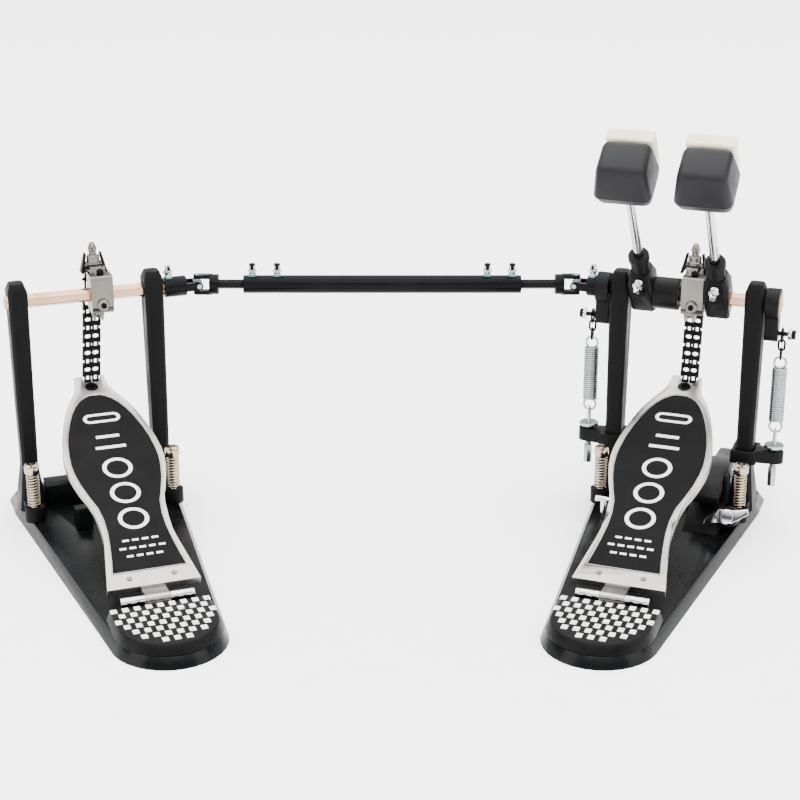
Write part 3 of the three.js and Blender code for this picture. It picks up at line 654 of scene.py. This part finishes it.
def on_cam(degrees):
    angle = math.radians(LEAVE + degrees)
    return Vector((CHAIN_R * math.cos(angle), SHAFT_Z + CHAIN_R * math.sin(angle)))


def run_place(side, start, end, u):
    way = end - start
    return PEDAL[side] @ at(u, start.x, start.y) @ Matrix.Rotation(math.atan2(way.y, way.x), 4, "X")


for side, body in SHAFT_BODY.items():
    u = CAM_U[side]
    strand = chain_run((on_cam(0) - TOE).length, STRAND_PITCHES, u - TOE_CHAIN_U)
    stand(strand, run_place(side, TOE, on_cam(0), TOE_CHAIN_U))
    deliver(strand, f"{side}_roller_chain_strand", black_oxide, f"{side}_strand", "black_steel",
            f"{side}_chain_strand")
    for letter, first in (("a", 0), ("b", BEND)):
        start, end = on_cam(first), on_cam(first + BEND)
        link = stand(chain_run((end - start).length, 1), run_place(side, start, end, u))
        deliver(link, f"{side}_roller_chain_link_{letter}", black_oxide, f"{side}_link_{letter}",
                "black_steel", f"{side}_chain_link_{letter}")
    wraps = []
    for first in (2 * BEND, 2 * BEND + WRAP_STEP):
        start, end = on_cam(first), on_cam(first + WRAP_STEP)
        wraps.append(stand(chain_run((end - start).length, 1), run_place(side, start, end, u)))
    deliver(together(wraps), f"{side}_roller_chain_wrap", black_oxide, body, "black_steel",
            f"{side}_chain_wrap")
    clevis = turned([(2.6, -8.6), (3.0, -8.2), (3.0, -7.6), (1.9, -7.4), (1.9, 7.4), (3.0, 7.6),
                     (3.0, 8.2), (2.6, 8.6)], 16)
    stand(clevis, PEDAL[side] @ at(TOE_CHAIN_U, TOE.x, TOE.y)
          @ Matrix.Rotation(math.pi / 2, 4, "Y"))
    deliver(clevis, f"{side}_toe_pin", zinc_plate, f"{side}_board", "zinc")

# %% [markdown]
# ## Footboards
# A footboard is a cast aluminium blade. Its rim is polished round the rubber pad, with a fine
# raised bead just inside it. The bead follows the pad's own outline: all but the top edge of the
# pad's copy is deleted, and the rest is made a curve, given a round section and made a mesh again.

# %% Footboards and pads


def outline_bead(node, thick):
    """A round bead along the upper outline of a flat CAD node."""
    piece = merged(node)
    upper = max((f for f in piece.data.polygons if f.normal.z > 0.5), key=lambda f: f.area).index
    pick(piece, lambda f: f.index != upper)
    bpy.ops.mesh.delete(type="FACE")
    bpy.ops.mesh.select_all(action="SELECT")
    bpy.ops.mesh.delete(type="ONLY_FACE")
    bpy.ops.object.mode_set(mode="OBJECT")
    bpy.ops.object.convert(target="CURVE")
    line = bpy.context.object
    line.data.dimensions = "3D"
    line.data.bevel_depth = thick * MM
    line.data.bevel_resolution = 2
    bpy.ops.object.convert(target="MESH")
    return bpy.context.object


for side in SIDES:
    body = f"{side}_board"
    deliver(polished(f"{side}_footboard", 1.3, 3), f"{side}_footboard_casting", satin_aluminium,
            body, "cast_aluminium", f"{side}_footboard")
    deliver(polished(f"{side}_tread_pad", 0.5), f"{side}_tread_rubber", tread_rubber, body,
            "tread_rubber", f"{side}_tread_pad")
    deliver(outline_bead(f"{side}_tread_pad", 0.75), f"{side}_footboard_bead", satin_aluminium,
            body, "cast_aluminium")

# %% [markdown]
# The pad's light marks are plain grip marks: a long pill near the toe, two bars, three round
# rings, and rows of short dashes at the heel. A ring is a torus squashed to a low bead. The pill
# is the same torus with its two halves pulled apart.

# %% Grip marks, rivets and the neck screw
PILL_ROW = 206
RING_ROWS = (140, 108.5, 77)
BAR_ROWS = (167, 181)
DASH_ROWS = ((52, 4), (43, 5), (34, 4))
DASH_PITCH = 8
RIVET_U, RIVET_ROW = 18, 9.5
NECK_ROW = 250


def flat_ring(radius, wire, spread=0.0):
    mark = ring(radius, wire, 32, 8)
    stand(mark, Matrix.Scale(0.3, 4, (0, 0, 1)))
    for sign in (-1, 1) if spread else ():
        pick(mark, lambda v: v.co.x * sign > 0.01 * MM, "VERT")
        bpy.ops.transform.translate(value=(sign * spread * MM, 0, 0))
    only()
    return mark


for side in SIDES:
    board = PEDAL[side] @ ON_BOARD
    marks = [stand(flat_ring(4.6, 1.5, 10), board @ at(0, PILL_ROW, 0))]
    marks += [stand(flat_ring(11, 1.7), board @ at(0, row, 0)) for row in RING_ROWS]
    marks += [stand(block((26 - 6 * i, 3.4, 0.8), edge=0.35), board @ at(0, row, 0))
              for i, row in enumerate(BAR_ROWS)]
    for row, count in DASH_ROWS:
        marks += [stand(block((5.5, 2.2, 0.7), edge=0.3),
                        board @ at(DASH_PITCH * (i - (count - 1) / 2), row, 0))
                  for i in range(count)]
    deliver(together(marks), f"{side}_tread_marks", white_rubber, f"{side}_board", "tread_rubber")
    rivets = [stand(turned([(2.4, -0.6), (2.4, 0.2), (1.9, 0.8), (0.7, 1.0)], 20),
                    board @ at(u, RIVET_ROW, 0)) for u in (-RIVET_U, RIVET_U)]
    deliver(together(rivets), f"{side}_board_rivets", machined_aluminium, f"{side}_board",
            "cast_aluminium")
    neck = turned([(5.6, -3.2), (5.6, -1.2), (5.1, -0.6), (3, -0.6), (2.6, -2.2), (0.5, -2.4)], 24)
    deliver(stand(neck, board @ at(0, NECK_ROW, 0)), f"{side}_neck_screw", black_oxide,
            f"{side}_board", "black_steel")

# %% [markdown]
# ## Beaters
# The beater head is a moulded block with a ridge low on its back, and a thick felt on its striking
# side. The rod is chromed. Head and rod lean back 37 degrees over the shaft at rest. The block's
# ends are narrowed first, and two bevels then round it: a wide one for the corners and a small
# one for the ridge.

# %% Beater heads, felts and rods
BEATERS = {"main": 27, "second": -38.5}
HEAD_LOW = 133
HEAD_HIGH = 177
HEAD_MIDDLE = (HEAD_LOW + HEAD_HIGH) / 2
RIDGE_Z = HEAD_LOW + 15
FELT_V = 26.8
HUB_BODY = {"main": "main_shaft_set", "second": "second_drive_set"}
HUB_NODE = {"main": "right_beater_hub", "second": "right_drive_hub"}


def beater_block(u):
    """The head upright over the shaft: a block, narrowed at both ends, with a ridge between."""
    head = block((48, 43, HEAD_HIGH - HEAD_LOW), (u, -0.5, HEAD_MIDDLE), 0)
    bpy.ops.object.mode_set(mode="EDIT")
    bpy.ops.mesh.select_all(action="SELECT")
    bpy.ops.mesh.bisect(plane_co=(0, 0, RIDGE_Z * MM), plane_no=(0, 0, 1))
    bpy.ops.object.mode_set(mode="OBJECT")
    pick(head, lambda v: v.co.z < (HEAD_LOW + 1) * MM, "VERT")
    bpy.ops.transform.resize(value=(0.9, 0.72, 1), center_override=(u * MM, 2 * MM, HEAD_LOW * MM))
    pick(head, lambda v: v.co.z > (HEAD_HIGH - 1) * MM, "VERT")
    bpy.ops.transform.resize(value=(0.82, 0.8, 1), center_override=(u * MM, 6 * MM, HEAD_HIGH * MM))
    bpy.ops.object.mode_set(mode="OBJECT")
    for width, steps, sharp in ((6.5, 5, 60), (1.2, 3, 20)):
        soft = head.modifiers.new("soft", "BEVEL")
        soft.width = width * MM
        soft.segments = steps
        soft.limit_method = "ANGLE"
        soft.angle_limit = math.radians(sharp)
        bpy.ops.object.modifier_apply(modifier=soft.name)
    return head


for name, u in BEATERS.items():
    body = f"{name}_beater"
    upright = PEDAL["right"] @ LEANT
    deliver(stand(beater_block(u), upright), f"{name}_beater_block", moulded_polyurethane, body,
            "beater_plastic", f"right_{name}_beater_head")
    pad = block((40, 12.5, 37), (u, FELT_V, HEAD_MIDDLE), 2.4, 4)
    deliver(stand(pad, upright), f"{name}_beater_felt_pad", pressed_felt, body, "felt",
            f"right_{name}_beater_felt")
    rod = turned([(3.2, 12.3), (4, 13), (4, HEAD_LOW + 15)], 24)
    deliver(stand(rod, upright @ at(u, 0, 0)), f"{name}_beater_stem", polished_chrome, body,
            "chrome", f"right_{name}_beater_rod")

# %% [markdown]
# Each hub clamps its beater rod with a split collar and a drum-key screw that faces the player.
# The forks of the two shafts carry the same screws, with thread lock at their feet.

# %% Hubs and forks
HUB_SCREW_V, HUB_SCREW_Z = -10.5, 26
FORKS = {"left": (73.9, "left_shaft_set"), "right": (-84.9, "second_drive_set")}
for name, u in BEATERS.items():
    body = HUB_BODY[name]
    hub_place = PEDAL["right"] @ LEANT
    deliver(polished(HUB_NODE[name], 1.2, 3), f"{name}_beater_hub_casting", painted_casting, body,
            "black_casting", HUB_NODE[name])
    screw = stand(key_screw(3, 1.15), hub_place @ along((u, HUB_SCREW_V, HUB_SCREW_Z),
                                                        (u, -30, HUB_SCREW_Z)))
    deliver(screw, f"{name}_hub_key_screw", polished_chrome, body, "chrome")
    collar = turned([(8.2, 44), (9.2, 45), (9.2, 50), (8.4, 51.6), (4.6, 51.8), (4.2, 50)], 28)
    deliver(stand(collar, hub_place @ at(u, 0, 0)), f"{name}_hub_collar", painted_casting, body,
            "black_casting")
for side, (u, body) in FORKS.items():
    deliver(polished(f"{side}_shaft_yoke", 0.5), f"{side}_shaft_fork", black_oxide, body,
            "black_steel", f"{side}_shaft_yoke")
    foot = PEDAL[side] @ at(u, 0, SHAFT_Z + 8.4)
    deliver(stand(key_screw(4, 1.1), foot), f"{side}_fork_key_screw", polished_chrome, body,
            "chrome")
    deliver(stand(film(3.8), foot), f"{side}_fork_thread_lock", thread_lock, body, "black_steel")

# %% [markdown]
# ## Rockers and springs
# A rocker beside each post of the right pedal pulls a tension spring. The spring hangs on a
# stirrup from the rocker's pin, and a threaded rod below it sets the tension with a knurled nut.
# The arm that holds the rod is clamped to the post. Its tip ends 6.5 mm sooner than its solid's
# and is a fifth narrower, so its corners are picked and moved in the pedal's own frame.

# %% Rockers and arms
ROCKER_SIDE = {"main": 1, "second": -1}
SPRING_U = 83.5
ROCKER_ARM = 26
PIN_Z = SHAFT_Z - ROCKER_ARM
ARM_TIP_U, ARM_NECK_U = 84, 73
TIP_BACK = 6.5
for name, s in ROCKER_SIDE.items():
    body = HUB_BODY[name]
    pedal = PEDAL["right"]
    deliver(polished(f"right_{name}_rocker", 0.9, 3), f"{name}_rocker_casting", painted_casting,
            body, "black_casting", f"right_{name}_rocker")
    face = turned([(9.5, 0), (9.5, 0.6), (8.9, 1), (7.2, 1), (6.8, 0.2)], 32)
    stand(face, pedal @ along((s * 79.9, 0, SHAFT_Z), (s * 90, 0, SHAFT_Z)))
    deliver(face, f"{name}_rocker_bearing", bearing_bronze, body, "warm_nickel")
    nut = turned([(3, 0), (4.9, 0.2), (5.1, 1.4), (5.1, 3), (3.4, 3.4), (3.4, 6.4), (2.6, 7),
                  (0.8, 7.2)], 20)
    stand(nut, pedal @ along((s * 88.6, 0, PIN_Z), (s * 99, 0, PIN_Z)))
    deliver(nut, f"{name}_rocker_thumb_nut", polished_chrome, body, "chrome")
    arm = stand(polished(f"right_{name}_spring_arm", 1.6, 3), pedal.inverted())
    shift(arm, lambda v: abs(v.co.x) > ARM_TIP_U * MM, (-TIP_BACK * s, 0, 0))
    pick(arm, lambda v: abs(v.co.x) > ARM_NECK_U * MM, "VERT")
    bpy.ops.transform.resize(value=(1, 0.8, 1))
    deliver(stand(arm, pedal), f"{name}_arm_casting", painted_casting, "stands", "black_casting",
            f"right_{name}_spring_arm")
    washer = turned([(3.4, 0), (7.6, 0.1), (7.8, 0.8), (7.6, 1.5), (3.4, 1.6)], 28)
    stand(washer, pedal @ along((s * 67.6, 0, SHAFT_Z), (s * 50, 0, SHAFT_Z)))
    deliver(washer, f"{name}_post_washer", black_oxide, body, "black_steel")

# %% [markdown]
# The spring is close-wound zinc-plated wire with a hook at both ends. The coil is a circle of wire
# wound by the Screw modifier. The stirrup is three wire links, each a ring whose lower half is
# moved down.

# %% Tension springs
COIL_LOW = 91
COIL_HIGH = 140
COIL_TURNS = 25
EYE_Z = 82
LOW_HOOK_R, HIGH_HOOK_R = 5.4, 5.2
LINK_WIRE = 0.95
LINKS = ((4.6, 175.6, 163.5, math.pi / 2), (2.7, 165.3, 156, 0),
         (2.7, 157.8, 147.9, math.pi / 2))


def deliver_coil(spring, name, finish, low_body, high_body):
    """Names a coil, turns its faces outwards, smooths it and gives it its finish."""
    spring.name = spring.data.name = name
    only(spring)
    bpy.ops.object.mode_set(mode="EDIT")
    bpy.ops.mesh.select_all(action="SELECT")
    bpy.ops.mesh.normals_make_consistent(inside=False)
    bpy.ops.object.mode_set(mode="OBJECT")
    bpy.ops.object.shade_smooth()
    spring.data.materials.append(finish)
    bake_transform(spring)
    print(f"{name}: {len(spring.data.polygons)} faces, {low_body} to {high_body}")


for name, s in ROCKER_SIDE.items():
    u = s * SPRING_U
    pedal = PEDAL["right"]
    spring = coil(5.7, 0.95, COIL_LOW, COIL_HIGH, COIL_TURNS)
    stand(spring, pedal @ at(u, 0, 0))
    deliver_coil(spring, f"{name}_tension_coil", zinc_plate, f"{name}_spring",
                 f"{name}_stirrup")
    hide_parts(f"right_{name}_spring")
    low_hook = ring(LOW_HOOK_R, 1)
    stand(low_hook, pedal @ at(u, 0, COIL_LOW - 4.9) @ Matrix.Rotation(math.pi / 2, 4, "X"))
    deliver(low_hook, f"{name}_spring_low_hook", zinc_plate, f"{name}_spring", "zinc")
    top_hook = ring(HIGH_HOOK_R, 1)
    stand(top_hook, pedal @ at(u, 0, COIL_HIGH + 4.6) @ Matrix.Rotation(math.pi / 2, 4, "X"))
    deliver(top_hook, f"{name}_spring_top_hook", zinc_plate, f"{name}_stirrup", "zinc")
    links = []
    for radius, high, low, turn in LINKS:
        link = stand(ring(radius, LINK_WIRE, 24), Matrix.Rotation(math.pi / 2, 4, "X"))
        shift(link, lambda v: v.co.z < -0.01 * MM, (0, 0, low - high + 2 * radius))
        links.append(stand(link, pedal @ at(u, 0, high - radius) @ Matrix.Rotation(turn, 4, "Z")))
    deliver(together(links), f"{name}_stirrup_link", black_oxide, f"{name}_stirrup", "black_steel",
            f"right_{name}_stirrup")

# %% [markdown]
# The tension rod is threaded. A dished nut sits on the arm, and a long sleeve nut below locks it.
# The rod's eye is a ring through the spring's lower hook.

# %% Tension rods
ARM_TOP = 64
ROD_FOOT = 30
THREAD_PITCH = 1.6
for name, s in ROCKER_SIDE.items():
    u = s * SPRING_U
    pedal = PEDAL["right"]
    thread = [(2.2, ROD_FOOT)]
    for ridge in range(22):
        foot = ROD_FOOT + 0.4 + ridge * THREAD_PITCH
        thread += [(2.7, foot), (2.3, foot + THREAD_PITCH / 2)]
    rod = turned(thread + [(1.7, 66), (1.7, EYE_Z - 3.4)], 16)
    sleeve = turned([(3.6, 30.4), (3.9, 31), (3.9, 47), (3.4, 47.8)], 6)
    dish = turned([(4.6, ARM_TOP + 0.3), (5.2, ARM_TOP + 1.4), (8.4, ARM_TOP + 2.6),
                   (8.7, ARM_TOP + 3.2), (8.7, ARM_TOP + 4.4), (8.2, ARM_TOP + 5),
                   (3.2, ARM_TOP + 5.2)], 36)
    eye = stand(ring(2.6, 0.8), at(0, 0, EYE_Z - 0.9) @ Matrix.Rotation(math.pi / 2, 4, "Y"))
    whole = stand(together([rod, sleeve, dish, eye]), pedal @ at(u, 0, 0))
    deliver(whole, f"{name}_tension_screw", zinc_plate, "stands", "zinc",
            f"right_{name}_tension_rod")

# %% [markdown]
# ## Spurs
# A spur bolt screws down through the base to bite the carpet, and a spring under its round head
# keeps it from shaking loose.

# %% Spur bolts and their springs
SPUR_U = 62
SPUR_V = -38
SPUR_TOP = 62
SPUR_COIL = (22.8, SPUR_TOP - 10.2)
PLACE_SIGN = {("left", "outer"): -1, ("left", "inner"): 1,
              ("right", "outer"): 1, ("right", "inner"): -1}
for (side, place), s in PLACE_SIGN.items():
    here = PEDAL[side] @ at(s * SPUR_U, SPUR_V, 0)
    body = f"{side}_{place}_spur"
    thread = [(0.6, 0.4), (3, 3.1)]
    for ridge in range(16):
        foot = 4 + ridge * THREAD_PITCH
        thread += [(3.0, foot), (2.6, foot + THREAD_PITCH / 2)]
    head = [(3.2, 30), (3.2, SPUR_TOP - 10), (5.4, SPUR_TOP - 9.4), (6.6, SPUR_TOP - 7.6),
            (6.6, SPUR_TOP - 2.4), (5.9, SPUR_TOP - 0.8), (4.2, SPUR_TOP), (2.2, SPUR_TOP - 0.2),
            (2.0, SPUR_TOP - 1.4), (0.4, SPUR_TOP - 1.5)]
    bolt = stand(turned(thread + head, 24), here)
    deliver(bolt, f"{side}_{place}_spur_screw", pale_nickel_plate, body, "warm_nickel",
            f"{side}_{place}_spur_bolt")
    spring = stand(coil(4.9, 0.75, *SPUR_COIL, 11), here)
    deliver_coil(spring, f"{side}_{place}_spur_coil", pale_nickel_plate, "stands",
                 body)

# %% [markdown]
# ## Hoop clamp
# On the right pedal a lever presses the drum's hoop onto a lip at the front of the base. A wing
# bolt at the side works it. The drum key is kept on the left of the base.

# %% Clamp, wing bolt and drum key
deliver(polished("right_clamp_bracket", 1.1, 3), "clamp_bracket_casting", painted_casting, "stands",
        "black_casting", "right_clamp_bracket")
deliver(polished("right_clamp_jaw", 1.1, 3), "clamp_jaw_lever", painted_casting, "clamp_jaw",
        "black_casting", "right_clamp_jaw")
deliver(polished("right_clamp_wing_bolt", 1.3, 3), "clamp_wing_screw", polished_chrome, "wing_bolt",
        "chrome", "right_clamp_wing_bolt")
deliver(polished("right_drum_key", 0.6, 2), "drum_key_body", polished_chrome, "stands", "chrome",
        "right_drum_key")

# %% [markdown]
# ## Drive linkage
# A tube joins two rods, each with a universal joint at its end: a fork on the rod, a fork on the
# shaft, and a cross between them. Drum-key screws hold the rods in the tube.

# %% Linkage
JOINT_Y = 34.12 - MIDDLE[1]
TUBE_SCREWS = (-119, -97, 89, 111)
deliver(polished("drive_tube", 0.5), "drive_tube_body", black_oxide, "drive_tube_set",
        "black_steel", "drive_tube")
screws, films = [], []
for x in TUBE_SCREWS:
    foot = at(x - MIDDLE[0], JOINT_Y, SHAFT_Z + 8)
    screws.append(stand(key_screw(3, 1.05), foot))
    films.append(stand(film(3.6), foot))
deliver(together(screws), "drive_tube_key_screws", polished_chrome, "drive_tube_set", "chrome")
deliver(together(films), "drive_tube_thread_lock", thread_lock, "drive_tube_set", "black_steel")
for side in SIDES:
    deliver(polished(f"{side}_drive_rod", 0.5), f"{side}_drive_fork", black_oxide, "drive_tube_set",
            "black_steel", f"{side}_drive_rod")
    deliver(polished(f"{side}_joint_cross", 0.35), f"{side}_joint_spider", zinc_plate,
            f"{side}_cross", "zinc", f"{side}_joint_cross")

# %% [markdown]
# ## Floor, light and camera
# The pedal stands in a pale studio: a wide near-white floor under a lit dome. The dome is bright
# above, which gives soft shadows. It is dark in a band from 15 to 22 degrees up, which is what the
# black tops reflect, and pale again at the horizon, so that floor and surround meet without a
# line. Four broad soft lights add the highlights.

# %% Studio
only()
bpy.ops.mesh.primitive_plane_add(size=40)
floor = bpy.context.object
floor.name = "studio_floor"
floor.data.materials.append(finish("studio_paper", "#ffffff", "#fbfbfb", 0.9, 0, 3, 0.001))

world = bpy.data.worlds.new("studio")
bpy.context.scene.world = world
world.use_nodes = True
sky = world.node_tree.nodes["Background"]
direction = add(world, "ShaderNodeTexCoord", {})
height = add(world, "ShaderNodeSeparateXYZ", {}, {0: direction.outputs["Generated"]})
dome = add(world, "ShaderNodeValToRGB", {}, {"Fac": height.outputs["Z"]})
HORIZON_END, DARK_BAND, BRIGHT_FROM = 0.17, (0.26, 0.38), 0.85
dome.color_ramp.elements[0].position = HORIZON_END
dome.color_ramp.elements[0].color = linear("#d6d6d8")
dome.color_ramp.elements[1].position = BRIGHT_FROM
dome.color_ramp.elements[1].color = linear("#ffffff")
for place in DARK_BAND:
    dome.color_ramp.elements.new(place).color = linear("#303032")
world.node_tree.links.new(dome.outputs[0], sky.inputs["Color"])
sky.inputs["Strength"].default_value = 5.6


def soft_light(name, place, aim, size, power):
    light = bpy.data.lights.new(name, "AREA")
    light.shape = "RECTANGLE"
    light.size, light.size_y = size
    light.energy = power
    lamp = bpy.data.objects.new(name, light)
    bpy.context.scene.collection.objects.link(lamp)
    lamp.location = place
    lamp.rotation_euler = (Vector(aim) - Vector(place)).to_track_quat("-Z", "Y").to_euler()
    print(f"{name}: {power} W over {size[0]} by {size[1]} m")


soft_light("overhead_softbox", (0, 1.2, 3.2), (0, 0.9, 0), (6, 5), 220)
soft_light("front_softbox", (0, -1.6, 1.9), (0, 0.1, 0.1), (2.0, 1.0), 30)
soft_light("left_softbox", (-1.9, -0.9, 0.9), (0, 0.1, 0.15), (1.2, 1.2), 25)
soft_light("right_softbox", (1.9, -0.7, 1.0), (0, 0.1, 0.15), (1.2, 1.2), 25)

# %% [markdown]
# The camera looks down on the pair by 20 degrees through a long lens, so that the far and the near
# ends keep nearly the same scale.

# %% Camera
VIEW_TARGET = Vector((0.005882, 0.121436, 0.100))
VIEW_PLACE = Vector((0.005882, -1.37964, 0.64664))
lens = bpy.data.cameras.new("studio_camera")
lens.sensor_width = 36
lens.lens = 81.0
camera = bpy.data.objects.new("studio_camera", lens)
bpy.context.scene.collection.objects.link(camera)
camera.location = VIEW_PLACE
camera.rotation_euler = (VIEW_TARGET - VIEW_PLACE).to_track_quat("-Z", "Y").to_euler()
bpy.context.scene.camera = camera
print("camera is", round((VIEW_TARGET - VIEW_PLACE).length, 3), "m from its target")
